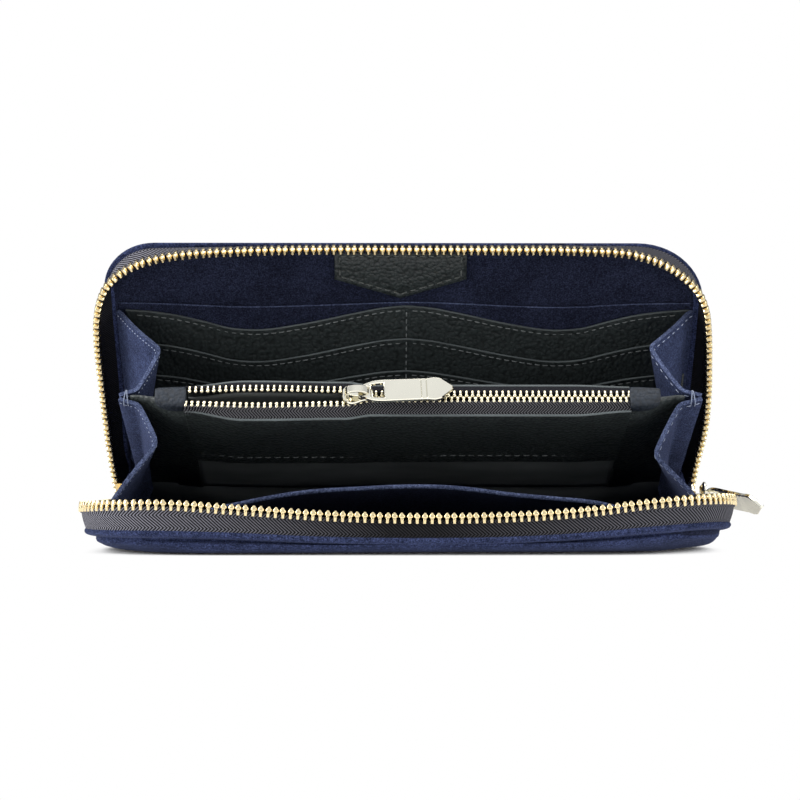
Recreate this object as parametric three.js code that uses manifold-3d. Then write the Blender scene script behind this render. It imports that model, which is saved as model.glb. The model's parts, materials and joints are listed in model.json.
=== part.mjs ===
// Zip-around wallet, lying on its lower cover with the upper cover raised.
// Millimetres. +X runs along the spine, -Y points at the opening, +Z is up.
// The origin is the centre of the lower cover's flat underside.
//
// Each half of the wallet is drawn in a cover frame: origin on the hinge axis, -Y towards the zip,
// -Z outwards through the cover and +Z towards the middle plane. The upper half is the same frame
// turned half round about Y, so that both halves are mirror images when the wallet is shut.

import * as THREE from 'three';
import { mergeVertices } from 'three/addons/utils/BufferGeometryUtils.js';
import Module from 'manifold-3d';

const wasm = await Module();
wasm.setup();

// ---------------------------------------------------------------- driving dimensions

const halfWidth = 97.5; // hinge-parallel half length of a cover
const coverDepth = 91; // hinge axis to the cover's front edge
const coverCorner = 24; // plan radius of the cover's front corners
const hingeY = 46;
const hingeHeight = 16; // half the thickness of the shut wallet
const openAngle = THREE.MathUtils.degToRad(55); // upper cover above the lower one
const gap = 0.3; // clearance between neighbouring pieces

const padding = 2.7; // suede and padding under the board
const rimThickness = 3;
const rimTop = -8.5; // height of the turned edge in the cover frame
const boardThickness = 1.2;
const sheet = 0.8; // suede and leather sheet

const rowHalfWidth = 96.4; // zip chain, middle of the tape
const rowDepth = 91.4;
const rowCorner = 28;
const outerTeeth = 163;
const toothThickness = 2;
const toothTip = -0.8; // height of the teeth's tips in the cover frame
const toothValley = -2.4;
const toothBase = -4.6;
const tapeThickness = 0.8;
const frontSag = 2.3; // how far the lower chain sags in the middle of the front
const cornerRise = 1.0; // how far it stands up near the corners

const pocketDepth = 69.8; // hinge axis to the divider pocket's lips
const pocketHalfWidth = 68;
const chainDepth = 70.8; // hinge axis to the pocket's zip chain
const pocketTeeth = 74;
const pocketSliderX = -14.5;
const facingSeam = 36; // hinge axis to the seam below the leather facing
const mouthGape = 2.2; // half of the extra width where the pocket stands open
const dividerSag = 2.7; // how far the divider's front sinks between its two sewn ends

const gussetReach = 66; // gussets run from the spine to here
const gussetStart = 8;
const gussetFront = 21.7; // width of one gusset fold at the opening
const gussetRear = 2.7; // and beside the spine
const gussetAngle = THREE.MathUtils.degToRad(46); // of each fold to the panel that it hangs from

// ---------------------------------------------------------------- materials

const finish = (color, roughness, metalness) => () =>
  new THREE.MeshStandardMaterial({ color, roughness, metalness });
const navySuede = finish('#252c52', 0.95, 0);
const blackLeather = finish('#161b1b', 0.55, 0);
const blackLining = finish('#121616', 0.8, 0);
const greyTape = finish('#45464e', 0.9, 0);
const goldTeeth = finish('#d9c07a', 0.3, 1);
const champagne = finish('#dccfae', 0.2, 1);
const greyBoard = finish('#8d8a84', 0.9, 0);

// ---------------------------------------------------------------- scene graph

const group = new THREE.Group();
const lowerHalf = new THREE.Group();
const divider = new THREE.Group();
const upperTurn = new THREE.Group();
const upperHalf = new THREE.Group();
lowerHalf.position.set(0, hingeY, hingeHeight);
divider.position.set(0, hingeY, hingeHeight);
divider.rotation.x = -openAngle / 2;
upperTurn.rotation.x = -openAngle / 2;
upperHalf.rotation.y = Math.PI;
group.add(lowerHalf, divider);
divider.add(upperTurn);
upperTurn.add(upperHalf);

function piece(parent, name, geometry, material) {
  const mesh = new THREE.Mesh(geometry, material());
  mesh.name = name;
  parent.add(mesh);
  return mesh;
}

// ---------------------------------------------------------------- geometry helpers

function toSolid(geometry) {
  const plain = geometry.clone();
  plain.deleteAttribute('normal');
  plain.deleteAttribute('uv');
  const merged = mergeVertices(plain, 1e-4);
  return new wasm.Manifold(new wasm.Mesh({
    numProp: 3,
    vertProperties: new Float32Array(merged.attributes.position.array),
    triVerts: new Uint32Array(merged.index.array),
  }));
}

function toGeometry(solid) {
  const { vertProperties, triVerts } = solid.getMesh();
  const geometry = new THREE.BufferGeometry();
  geometry.setAttribute('position', new THREE.BufferAttribute(vertProperties, 3));
  geometry.setIndex(new THREE.BufferAttribute(triVerts, 1));
  geometry.computeVertexNormals();
  return geometry;
}

function joined(first, ...rest) {
  return toGeometry(rest.reduce((solid, other) => solid.add(toSolid(other)), toSolid(first)));
}

function withCuts(first, ...cutters) {
  return toGeometry(cutters.reduce((solid, other) => solid.subtract(toSolid(other)), toSolid(first)));
}

// A box between two corners.
function block(x0, x1, y0, y1, z0, z1) {
  const box = new THREE.BoxGeometry(x1 - x0, y1 - y0, z1 - z0);
  return box.translate((x0 + x1) / 2, (y0 + y1) / 2, (z0 + z1) / 2);
}

// A box whose points, given as fractions 0..1 along each side, are placed by a function.
function shapedBox(nx, ny, nz, place) {
  const box = new THREE.BoxGeometry(1, 1, 1, nx, ny, nz);
  const points = box.attributes.position;
  const out = new THREE.Vector3();
  for (let i = 0; i < points.count; i += 1) {
    place(points.getX(i) + 0.5, points.getY(i) + 0.5, points.getZ(i) + 0.5, out);
    points.setXYZ(i, out.x, out.y, out.z);
  }
  box.computeVertexNormals();
  return box;
}

const { lerp, smoothstep } = THREE.MathUtils;

// ---------------------------------------------------------------- cover outlines

// The plan of a cover: straight at the spine, round at the two front corners.
function coverPlan(inset, rear) {
  const x = halfWidth - inset;
  const y = -(coverDepth - inset);
  const r = coverCorner - inset;
  const shape = new THREE.Shape();
  shape.moveTo(-x, -rear);
  shape.lineTo(-x, y + r);
  shape.absarc(-x + r, y + r, r, Math.PI, 1.5 * Math.PI, false);
  shape.lineTo(x - r, y);
  shape.absarc(x - r, y + r, r, 1.5 * Math.PI, 2 * Math.PI, false);
  shape.lineTo(x, -rear);
  shape.closePath();
  return shape;
}

function planPlate(inset, rear, bottom, top) {
  const plate = new THREE.ExtrudeGeometry(coverPlan(inset, rear), {
    depth: top - bottom, bevelEnabled: false, curveSegments: 6,
  });
  return plate.translate(0, 0, bottom);
}

// Part of a tube round the hinge axis, from one angle to another, measured from the rear (+Y) upwards.
function spineArc(inner, outer, from, to, halfLength) {
  const shape = new THREE.Shape();
  shape.absarc(0, 0, outer, from, to, false);
  shape.absarc(0, 0, inner, to, from, true);
  shape.closePath();
  const arc = new THREE.ExtrudeGeometry(shape, {
    depth: 2 * halfLength, bevelEnabled: false, curveSegments: 10,
  });
  arc.translate(0, 0, -halfLength);
  // profile x, y, z -> y, z, x
  return arc.applyMatrix4(new THREE.Matrix4().set(0, 0, 1, 0, 1, 0, 0, 0, 0, 1, 0, 0, 0, 0, 0, 1));
}

const rightAngle = Math.PI / 2;
const arcEnd = THREE.MathUtils.degToRad(-48); // where a cover's own part of the spine stops
const arcShell = 1.2;

// The padded suede cover: a shallow tray with rounded lower edges and its share of the spine.
function coverShell() {
  const round = 2.4;
  const tray = new THREE.ExtrudeGeometry(coverPlan(0, 0), {
    depth: hingeHeight + rimTop, curveSegments: 6, bevelEnabled: true,
    bevelThickness: round, bevelSize: round, bevelOffset: -round, bevelSegments: 3,
  });
  tray.translate(0, 0, round - hingeHeight);
  const overTop = block(-halfWidth - 1, halfWidth + 1, -coverDepth - 1, 1, rimTop, 0);
  const cavity = planPlate(rimThickness, -1, padding - hingeHeight, 0);
  const open = toSolid(tray).subtract(toSolid(overTop)).subtract(toSolid(cavity));
  const arc = spineArc(hingeHeight - arcShell, hingeHeight, -rightAngle, arcEnd, halfWidth - 0.5);
  const tongue = block(-halfWidth + 0.5, halfWidth - 0.5, -6, 0.01, -hingeHeight, arcShell - hingeHeight);
  return toGeometry(open.add(toSolid(tongue)).add(toSolid(arc)));
}

const boardBottom = padding - hingeHeight + gap;
const liningBottom = boardBottom + boardThickness + gap;
const firstLayer = liningBottom + sheet + gap; // underside of the first sheet on the lining
const layerStep = sheet + gap;

for (const [half, prefix] of [[lowerHalf, 'lower'], [upperHalf, 'upper']]) {
  piece(half, `${prefix}_cover`, coverShell(), navySuede);
  const board = planPlate(rimThickness + gap, 3, boardBottom, boardBottom + boardThickness);
  piece(half, `${prefix}_board`, board, greyBoard);
  const lining = planPlate(rimThickness + gap, 3, liningBottom, liningBottom + sheet);
  piece(half, `${prefix}_lining`, lining, navySuede);
}

// ---------------------------------------------------------------- spine

const spineReach = THREE.MathUtils.degToRad(50);
const spineOuter = hingeHeight - arcShell - gap;
const spineWrap = spineArc(spineOuter - 1.2, spineOuter, -spineReach, spineReach, 94);
piece(divider, 'spine_cover', spineWrap, navySuede);
const liningOuter = spineOuter - 1.2 - gap;
const spineLining = spineArc(liningOuter - sheet, liningOuter, -spineReach, spineReach, 93);
piece(divider, 'spine_lining', spineLining, navySuede);

// ---------------------------------------------------------------- card slots, slip pockets, patch

const slotHalfWidth = 88;
const slotRear = 6;

// A sheet on the lining whose free edge dips once in each of the two columns.
function pocketSheet(layer, edge, dip) {
  const bottom = firstLayer + layer * layerStep;
  return shapedBox(24, 1, 1, (u, v, w, out) => {
    const x = lerp(-slotHalfWidth, slotHalfWidth, u);
    const wave = (1 - Math.cos((2 * Math.PI * Math.abs(x)) / 96)) / 2;
    out.set(x, lerp(-(edge - dip * wave), -slotRear, v), lerp(bottom, bottom + sheet, w));
  });
}

piece(upperHalf, 'upper_slip_pocket', pocketSheet(0, 69, 1.8), navySuede);
piece(upperHalf, 'card_slot_1', pocketSheet(1, 68.3, 9), blackLeather);
piece(upperHalf, 'card_slot_2', pocketSheet(2, 56.8, 8.8), blackLeather);
piece(upperHalf, 'card_slot_3', pocketSheet(3, 45.2, 7.2), blackLeather);

function patchShape() {
  const shape = new THREE.Shape();
  shape.moveTo(-19, -86);
  shape.lineTo(23, -86);
  shape.lineTo(23, -77.3);
  shape.lineTo(2, -70.4);
  shape.lineTo(-19, -77.3);
  shape.closePath();
  return shape;
}
const patch = new THREE.ExtrudeGeometry(patchShape(), { depth: 0.7, bevelEnabled: false });
piece(upperHalf, 'label_patch', patch.translate(0, 0, firstLayer), blackLeather);

// The lower slip pocket stands open: its free edge arches up in the middle.
const slipRise = 13;
const slipEdge = 60.5;
const lowerSlip = shapedBox(16, 5, 1, (u, v, w, out) => {
  const x = lerp(-slotHalfWidth, slotHalfWidth, u);
  const arch = (1 - (x / slotHalfWidth) ** 2) ** 1.2;
  const rise = slipRise * arch * smoothstep(1 - v, 0, 1);
  out.set(x, lerp(-slipEdge, -slotRear, v), firstLayer + rise + sheet * w);
});
piece(lowerHalf, 'lower_slip_pocket', lowerSlip, navySuede);

// ---------------------------------------------------------------- outer zip

// The line that the tape and teeth follow, from the left rear round the front to the right rear.
function rowLine(rearLeft, rearRight) {
  const x = rowHalfWidth;
  const y = -rowDepth;
  const line = new THREE.Path();
  line.moveTo(-x, -rearLeft);
  line.lineTo(-x, y + rowCorner);
  line.absarc(-x + rowCorner, y + rowCorner, rowCorner, Math.PI, 1.5 * Math.PI, false);
  line.lineTo(x - rowCorner, y);
  line.absarc(x - rowCorner, y + rowCorner, rowCorner, 1.5 * Math.PI, 2 * Math.PI, false);
  line.lineTo(x, -rearRight);
  return line;
}

// Height added to the lower chain: it sags in the middle of the front and rises near the corners.
function chainLift(point) {
  const forward = smoothstep(-point.y, 60, rowDepth);
  const across = Math.min(1, Math.abs(point.x) / 76);
  return forward * lerp(-frontSag, cornerRise, across ** 2.2);
}

const noLift = () => 0;

// A strip bent along a line: across its thickness by v, and between two heights by w.
function bentStrip(line, segments, thickness, lift, heights) {
  return shapedBox(segments, 1, 1, (u, v, w, out) => {
    const point = line.getPointAt(u);
    const along = line.getTangentAt(u);
    const side = (v - 0.5) * thickness;
    const [low, high] = heights(Math.round(u * segments));
    const raised = w > 0.5 ? high + lift(point) : low + (low > rimTop + 1 ? lift(point) : 0);
    out.set(point.x - along.y * side, point.y + along.x * side, raised);
  });
}

function zipSide(half, prefix, rearLeft, rearRight, lift) {
  const line = rowLine(rearLeft, rearRight);
  const tape = bentStrip(line, 64, tapeThickness, lift, () => [rimTop + gap, toothBase - gap]);
  piece(half, `${prefix}_tape`, tape, greyTape);
  const teeth = bentStrip(line, 2 * outerTeeth, toothThickness, lift,
    (station) => [toothBase, station % 2 ? toothTip : toothValley]);
  piece(half, `${prefix}_teeth`, teeth, goldTeeth);
}

zipSide(lowerHalf, 'lower', 4, 3, chainLift);
zipSide(upperHalf, 'upper', 15, 4, noLift);

// Metal stops at the chain's left end, one on each tape, and the box stop behind the slider.
const stopX = [rowHalfWidth - 1.3, rowHalfWidth + 1.3];
piece(lowerHalf, 'lower_top_stop', block(-stopX[1], -stopX[0], -3.6, -1, toothBase, -1.2), champagne);
piece(upperHalf, 'upper_top_stop', block(stopX[0], stopX[1], -3.6, -1, toothBase, -1.2), champagne);
piece(lowerHalf, 'bottom_stop', block(stopX[0], stopX[1], -2.6, 0.4, toothBase, 1), champagne);

// ---------------------------------------------------------------- sliders and pull tabs

// A slider in its own frame: it travels along X, its face looks along -Y and Z runs across the chain.
function sliderBody({ length, channel, slit, depthHalf, plate, wall, post, bail }) {
  const halfLength = length / 2;
  const top = channel + wall;
  const outer = block(-halfLength, halfLength, -depthHalf - plate, depthHalf + plate, -top, top);
  const bore = block(-halfLength - 1, halfLength + 1, -depthHalf, depthHalf, -channel, channel);
  const slot = block(-halfLength - 1, halfLength + 1, -slit, slit, -top - 1, top + 1);
  const divide = block(-halfLength, -halfLength + 2.2, -depthHalf - 0.2, depthHalf + 0.2, -post, post);
  const face = -depthHalf - plate;
  const arch = withCuts(
    block(-bail.halfLength, bail.halfLength, face - bail.height, face + 0.3, -0.8, 0.8),
    block(-bail.halfLength + 1.2, bail.halfLength - 1.2, face - bail.height + 1.2, face, -1, 1),
  );
  return joined(withCuts(outer, bore, slot), divide, arch);
}

// A pull tab from its hinge bar along X to a pointed tip, with a window for the bail.
function pullTab({ length, width, thickness }) {
  const half = width / 2;
  const bar = thickness / 2;
  const outline = new THREE.Shape();
  outline.moveTo(-bar, -half + 1);
  outline.lineTo(1, -half);
  outline.lineTo(length - 5, -half);
  outline.lineTo(length, 0);
  outline.lineTo(length - 5, half);
  outline.lineTo(1, half);
  outline.lineTo(-bar, half - 1);
  outline.closePath();
  const window = new THREE.Path();
  window.moveTo(bar, -half + 1.5);
  window.lineTo(bar, half - 1.5);
  window.lineTo(bar + 5.2, half - 1.5);
  window.lineTo(bar + 5.2, -half + 1.5);
  window.closePath();
  outline.holes.push(window);
  const tab = new THREE.ExtrudeGeometry(outline, { depth: thickness, bevelEnabled: false });
  tab.translate(0, 0, -thickness / 2);
  return tab.rotateX(rightAngle);
}

const outerSliderDepth = 9; // hinge axis to the middle of the outer slider
const outerSlider = {
  length: 9, channel: 4.85, slit: 1, depthHalf: 1.7, plate: 1.2, wall: 0.95, post: 0.4,
  bail: { halfLength: 3.3, height: 3.6 },
};
const outerMesh = piece(lowerHalf, 'outer_slider', sliderBody(outerSlider), champagne);
outerMesh.position.set(rowHalfWidth, -outerSliderDepth, 0);
outerMesh.rotation.z = rightAngle;

const outerPullX = rowHalfWidth + outerSlider.depthHalf + outerSlider.plate + 1.2;
const outerPull = new THREE.Group();
outerPull.position.set(outerPullX, -outerSliderDepth, 0);
outerPull.rotation.z = THREE.MathUtils.degToRad(-62);
lowerHalf.add(outerPull);
const outerTab = pullTab({ length: 29.5, width: 7.8, thickness: 1.4 });
piece(outerPull, 'outer_pull_tab', outerTab, champagne).rotation.y = THREE.MathUtils.degToRad(7);

const pocketSlider = {
  length: 9, channel: 3.05, slit: 0.6, depthHalf: 1.1, plate: 1, wall: 0.75, post: 0.25,
  bail: { halfLength: 3.3, height: 3.4 },
};
const pocketMesh = piece(divider, 'pocket_slider', sliderBody(pocketSlider), champagne);
pocketMesh.position.set(pocketSliderX, -chainDepth, -sag(pocketSliderX, chainDepth));
const pocketPullDepth = chainDepth + pocketSlider.depthHalf + pocketSlider.plate + 1.1;
const pocketTab = pullTab({ length: 28.5, width: 7.4, thickness: 1.4 });
const pocketTabMesh = piece(divider, 'pocket_pull_tab', pocketTab, champagne);
pocketTabMesh.position.set(pocketSliderX, -pocketPullDepth, -sag(pocketSliderX, chainDepth));
pocketTabMesh.rotation.y = THREE.MathUtils.degToRad(-3);

// ---------------------------------------------------------------- divider with its zipped pocket

// How far each lip of the pocket stands out from the shut line, where the zip is undone.
function gape(x) {
  const opening = smoothstep(-x, 14, 40);
  const leftEnd = smoothstep(-x, 44, 69);
  return mouthGape * (opening - 0.35 * leftEnd);
}

// Half thickness of the divider: full behind the zip, thin at the spine and at both ends.
function dividerHalf(x, depth) {
  const ends = smoothstep(Math.abs(x), 44, 64);
  return lerp(lerp(2.6, 5.3, depth / pocketDepth), 2.9, ends);
}

// Height lost by the divider's soft front; it levels out between two distances from the middle.
function sag(x, depth, from = 72, to = 84) {
  return dividerSag * (depth / pocketDepth) ** 1.6 * (1 - smoothstep(Math.abs(x), from, to));
}

// A sheet of the divider's wall from its rear edge to its front edge, bent at the facing's seam.
function dividerSheet(side, rear, front, inside, thickness) {
  return shapedBox(24, 2, 1, (u, v, w, out) => {
    const x = lerp(-pocketHalfWidth, pocketHalfWidth, u);
    const depth = v < 0.5 ? lerp(front, facingSeam, 2 * v) : lerp(facingSeam, rear, 2 * v - 1);
    const forward = Math.max(0, depth - facingSeam) / (pocketDepth - facingSeam);
    const middle = 1 - smoothstep(Math.abs(x), 44, 64);
    const height = dividerHalf(x, depth) - inside + 0.8 * gape(x) * forward * middle;
    const z = side * (height - thickness * (side > 0 ? 1 - w : w));
    out.set(x, -depth, z - sag(x, depth, 50, 65)); // level beside the folded gussets
  });
}

for (const [side, word] of [[1, 'upper'], [-1, 'lower']]) {
  const facing = dividerSheet(side, facingSeam - 4, pocketDepth - 1.5, 0, sheet);
  piece(divider, `divider_facing_${word}`, facing, blackLeather);
  const lining = dividerSheet(side, gussetStart + 1, pocketDepth - 3, sheet + 3 * gap, 0.6);
  piece(divider, `divider_lining_${word}`, lining, blackLining);

  const rowBase = 2.75;
  const chainSpan = pocketHalfWidth - 0.4;
  const tape = shapedBox(34, 1, 1, (u, v, w, out) => {
    const x = lerp(-chainSpan, chainSpan, u);
    const height = lerp(rowBase + gap, rowBase + gap + 2.1, side > 0 ? w : 1 - w) + gape(x);
    out.set(x, -chainDepth + lerp(-0.25, 0.25, v), side * height - sag(x, chainDepth));
  });
  piece(divider, `pocket_tape_${word}`, tape, greyTape);
  const teeth = shapedBox(2 * pocketTeeth, 1, 1, (u, v, w, out) => {
    const x = lerp(-chainSpan, chainSpan, u);
    const tip = Math.round(u * 2 * pocketTeeth) % 2 ? 0.4 : 1.3;
    const height = lerp(tip, rowBase, side > 0 ? w : 1 - w) + gape(x);
    out.set(x, -chainDepth + lerp(-0.8, 0.8, v), side * height - sag(x, chainDepth));
  });
  piece(divider, `pocket_teeth_${word}`, teeth, goldTeeth);
}

const rootBack = liningOuter - sheet - gap;
piece(divider, 'divider_root', block(-86, 86, -gussetStart + gap, rootBack, -0.8, 0.8), blackLining);
for (const [side, word] of [[-1, 'left'], [1, 'right']]) {
  const inner = side * (pocketHalfWidth + gap);
  const edgeTip = side * 87.5;
  const tabTip = side * 75.5;
  const edge = shapedBox(8, 6, 1, (u, v, w, out) => {
    const x = lerp(Math.min(inner, edgeTip), Math.max(inner, edgeTip), u);
    const depth = lerp(gussetReach, gussetStart, v);
    out.set(x, -depth, lerp(-1.2, 1.2, w) - sag(x, depth));
  });
  piece(divider, `divider_edge_${word}`, edge, blackLining);
  const tab = block(Math.min(inner, tabTip), Math.max(inner, tabTip), -72, -gussetReach - gap, -3.2, 3.2);
  tab.translate(0, 0, -sag(tabTip, chainDepth));
  piece(divider, `divider_tab_${word}`, tab, blackLeather);
}

// ---------------------------------------------------------------- gussets

// One fold of a gusset: a tapered panel that starts at its hinge line and narrows towards the spine.
function gussetFold() {
  return shapedBox(1, 1, 1, (u, v, w, out) => {
    const width = lerp(gussetFront, gussetRear, v);
    out.set(0.5 + u * width, lerp(-gussetReach, -gussetStart, v), (w - 0.5) * 0.7);
  });
}

const coverHingeX = 91.5;
const coverHingeZ = 5.5;
const dividerHingeX = 88;
const dividerHingeZ = 4;

for (const [side, word] of [[-1, 'left'], [1, 'right']]) {
  const folds = [
    ['base', lowerHalf, coverHingeX, -coverHingeZ, 1],
    ['below_divider', divider, dividerHingeX, -dividerHingeZ, -1],
    ['above_divider', divider, dividerHingeX, dividerHingeZ, 1],
    ['top', upperTurn, coverHingeX, coverHingeZ, -1],
  ];
  for (const [place, parent, x, z, rise] of folds) {
    const fold = piece(parent, `gusset_${word}_${place}`, gussetFold(), navySuede);
    fold.position.set(side * x, 0, z);
    fold.rotation.y = side < 0 ? -rise * gussetAngle : rise * (gussetAngle - Math.PI);
  }
}

export default group;
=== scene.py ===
import json
import math

import bmesh
import bpy
import numpy as np
from mathutils import Matrix, Vector


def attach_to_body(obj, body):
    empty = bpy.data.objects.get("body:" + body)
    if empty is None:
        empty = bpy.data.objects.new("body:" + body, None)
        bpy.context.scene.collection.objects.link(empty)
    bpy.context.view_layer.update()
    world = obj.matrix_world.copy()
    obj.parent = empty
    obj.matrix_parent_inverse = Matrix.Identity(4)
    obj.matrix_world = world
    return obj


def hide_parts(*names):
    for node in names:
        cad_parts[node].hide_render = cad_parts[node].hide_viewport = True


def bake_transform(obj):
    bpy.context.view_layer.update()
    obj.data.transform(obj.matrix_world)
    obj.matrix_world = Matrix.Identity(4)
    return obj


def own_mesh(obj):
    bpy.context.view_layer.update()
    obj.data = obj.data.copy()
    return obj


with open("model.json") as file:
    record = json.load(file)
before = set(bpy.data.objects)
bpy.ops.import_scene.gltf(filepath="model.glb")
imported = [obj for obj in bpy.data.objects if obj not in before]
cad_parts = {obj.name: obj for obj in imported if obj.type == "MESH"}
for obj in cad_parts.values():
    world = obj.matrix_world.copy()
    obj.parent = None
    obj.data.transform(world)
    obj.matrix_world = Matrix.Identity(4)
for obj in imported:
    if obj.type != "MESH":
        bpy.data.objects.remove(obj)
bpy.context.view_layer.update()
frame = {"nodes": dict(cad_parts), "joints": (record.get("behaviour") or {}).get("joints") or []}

# Lengths below are millimetres in a cover frame: origin on the hinge axis, -Y towards the zip,
# -Z outwards through the cover. The upper half is the same frame turned half round about Y.

MM = 0.001
JOINTS = {j["name"]: j for j in frame["joints"]}
HINGE = np.array(JOINTS["divider_open"]["pos_m"]) / MM


def panel_angle(joint):
    axis = JOINTS[joint]["axis"]
    return math.atan2(-axis[2], axis[1])


OPEN = panel_angle("gusset_left_top_fold")
MIDDLE = panel_angle("gusset_right_above_divider_fold")
ANGLES = {"lower": 0.0, "divider": MIDDLE, "upper": OPEN}


def smooth(value, start, end):
    t = np.clip((np.asarray(value, float) - start) / (end - start), 0, 1)
    return t * t * (3 - 2 * t)


def mix(a, b, t):
    return a + (b - a) * t


def curve(x, table):
    """A smooth curve through (x, y) pairs, by monotone cubic steps."""
    xs, ys = np.array(table, float).T
    slopes = np.gradient(ys, xs)
    x = np.clip(np.asarray(x, float), xs[0], xs[-1])
    i = np.clip(np.searchsorted(xs, x, side="right") - 1, 0, len(xs) - 2)
    h = xs[i + 1] - xs[i]
    t = (x - xs[i]) / h
    return ((2 * t**3 - 3 * t**2 + 1) * ys[i] + (t**3 - 2 * t**2 + t) * h * slopes[i]
            + (-2 * t**3 + 3 * t**2) * ys[i + 1] + (t**3 - t**2) * h * slopes[i + 1])


def xyz(x, y, z):
    """Points from coordinates of which some are the same all along."""
    return np.stack(np.broadcast_arrays(x, y, z), -1)


def unit(vectors):
    return vectors / np.linalg.norm(vectors, axis=-1, keepdims=True)


def to_row(points, half):
    """Points of a cover frame in millimetres, as points of the row frame in millimetres."""
    p = np.array(points, float)
    if half == "upper":
        p[..., 0] *= -1
        p[..., 2] *= -1
    c, s = math.cos(ANGLES[half]), math.sin(ANGLES[half])
    y, z = p[..., 1].copy(), p[..., 2].copy()
    p[..., 1] = y * c + z * s
    p[..., 2] = -y * s + z * c
    return p + HINGE


def polar(x, r, degrees, height=0.0):
    """A row-frame point at distance r from the hinge axis and a height off a plane at an angle."""
    a = np.radians(degrees)
    return HINGE + xyz(x, -r * np.cos(a) + height * np.sin(a), r * np.sin(a) + height * np.cos(a))


# ---------------------------------------------------------------- gathering meshes


def grid_faces(m, n, close_v=False, caps=False):
    """Faces of m rows of n points; close_v joins each row into a ring and caps fills the end rings."""
    index = np.arange(m * n).reshape(m, n)
    i, j = np.meshgrid(np.arange(m - 1), np.arange(n if close_v else n - 1), indexing="ij")
    after = (j + 1) % n
    quads = np.stack([index[i, j], index[i, after], index[i + 1, after], index[i + 1, j]], -1)
    return quads.reshape(-1, 4).tolist() + ([index[0][::-1].tolist(), index[-1].tolist()] if caps else [])


class Gather:
    """Collects grids and repeated small shapes into one mesh."""

    def __init__(self):
        self.verts, self.faces, self.uvs, self.count = [], [], [], 0

    def add(self, verts, faces, uvs=None):
        verts = np.asarray(verts, float).reshape(-1, 3)
        self.verts.append(verts)
        self.uvs.append(np.zeros((len(verts), 2)) if uvs is None else np.asarray(uvs, float).reshape(-1, 2))
        self.faces += [[i + self.count for i in f] for f in faces]
        self.count += len(verts)

    def grid(self, points, uvs=None, **ends):
        self.add(points, grid_faces(*np.shape(points)[:2], **ends), uvs)

    def repeat(self, template, origins, axes):
        """One (verts, faces) template at many origins; the rows of axes[k] are its x, y and z."""
        verts, faces = template
        for one in origins[:, None, :] + np.einsum("vk,ckd->cvd", verts, axes):
            self.add(one, faces)

    def build(self, name, half, materials, outward=True):
        """The mesh object; half names the frame its points are in, or None for the row frame."""
        points = np.concatenate(self.verts)
        points = to_row(points, half) if half else points
        mesh = bpy.data.meshes.new(name)
        mesh.from_pydata((points * MM).tolist(), [], self.faces)
        layer = mesh.uv_layers.new(name="UVMap")
        uvs = np.concatenate(self.uvs)
        loops = np.zeros(len(mesh.loops), np.int32)
        mesh.loops.foreach_get("vertex_index", loops)
        layer.data.foreach_set("uv", uvs[loops].astype(np.float32).ravel())
        for material in materials:
            mesh.materials.append(material)
            mesh.polygons.foreach_set("use_smooth", [True] * len(mesh.polygons))
        if outward:
            shape = bmesh.new()
            shape.from_mesh(mesh)
            bmesh.ops.recalc_face_normals(shape, faces=shape.faces)
            shape.to_mesh(mesh)
            shape.free()
        mesh.update()
        obj = bpy.data.objects.new(name, mesh)
        bpy.context.scene.collection.objects.link(obj)
        return obj


def round_edges(obj, width, segments=2, degrees=50):
    """Rounds edges steeper than an angle, by a width in millimetres."""
    made = obj.modifiers.new("Edge", "BEVEL")
    made.width = width * MM
    made.segments = segments
    made.limit_method = "ANGLE"
    made.angle_limit = math.radians(degrees)


def thicken(obj, thickness, up=None, rim=0, bevel=0.0, segments=2):
    """Makes a sheet solid: about its middle, or downwards from the face that looks up.
    The rim takes the material that many places after the sheet's own."""
    made = obj.modifiers.new("Thickness", "SOLIDIFY")
    made.thickness = thickness * MM
    made.offset = 0.0
    if up is not None:
        made.offset = -1.0 if obj.data.polygons[0].normal.dot(Vector(up)) > 0 else 1.0
    made.material_offset_rim = rim
    if bevel:
        round_edges(obj, bevel, segments)


def sharp(obj, degrees):
    """Keeps edges steeper than an angle crisp."""
    mesh = obj.data
    shape = bmesh.new()
    shape.from_mesh(mesh)
    limit = math.radians(degrees)
    for edge in shape.edges:
        edge.smooth = len(edge.link_faces) == 2 and edge.calc_face_angle(0) < limit
    shape.to_mesh(mesh)
    shape.free()


def name_slot(nodes):
    if nodes:
        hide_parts(*nodes)


def attach(obj, body, slot, *nodes):
    """Fixes an object to a body, in the place of CAD nodes."""
    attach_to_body(obj, body)
    name_slot(nodes)


def bend(obj, a, b, start, end, slot, *nodes):
    """Bakes an object's placement into its mesh, in the place of CAD nodes; the bodies a and b and the
    points start and end are not used.
    """
    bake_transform(obj)
    name_slot(nodes)


def sheet(name, half, rows, materials):
    """An open sheet through rows of points, with its plan as UV."""
    rows = np.array(rows)
    shape = Gather()
    shape.grid(rows, rows[..., :2])
    return shape.build(name, half, materials, outward=False)


def loft(name, half, rings, materials, uvs=None):
    """A closed solid through rings of points."""
    shape = Gather()
    shape.grid(rings, uvs, close_v=True, caps=True)
    return shape.build(name, half, materials)


# ---------------------------------------------------------------- materials


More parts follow.
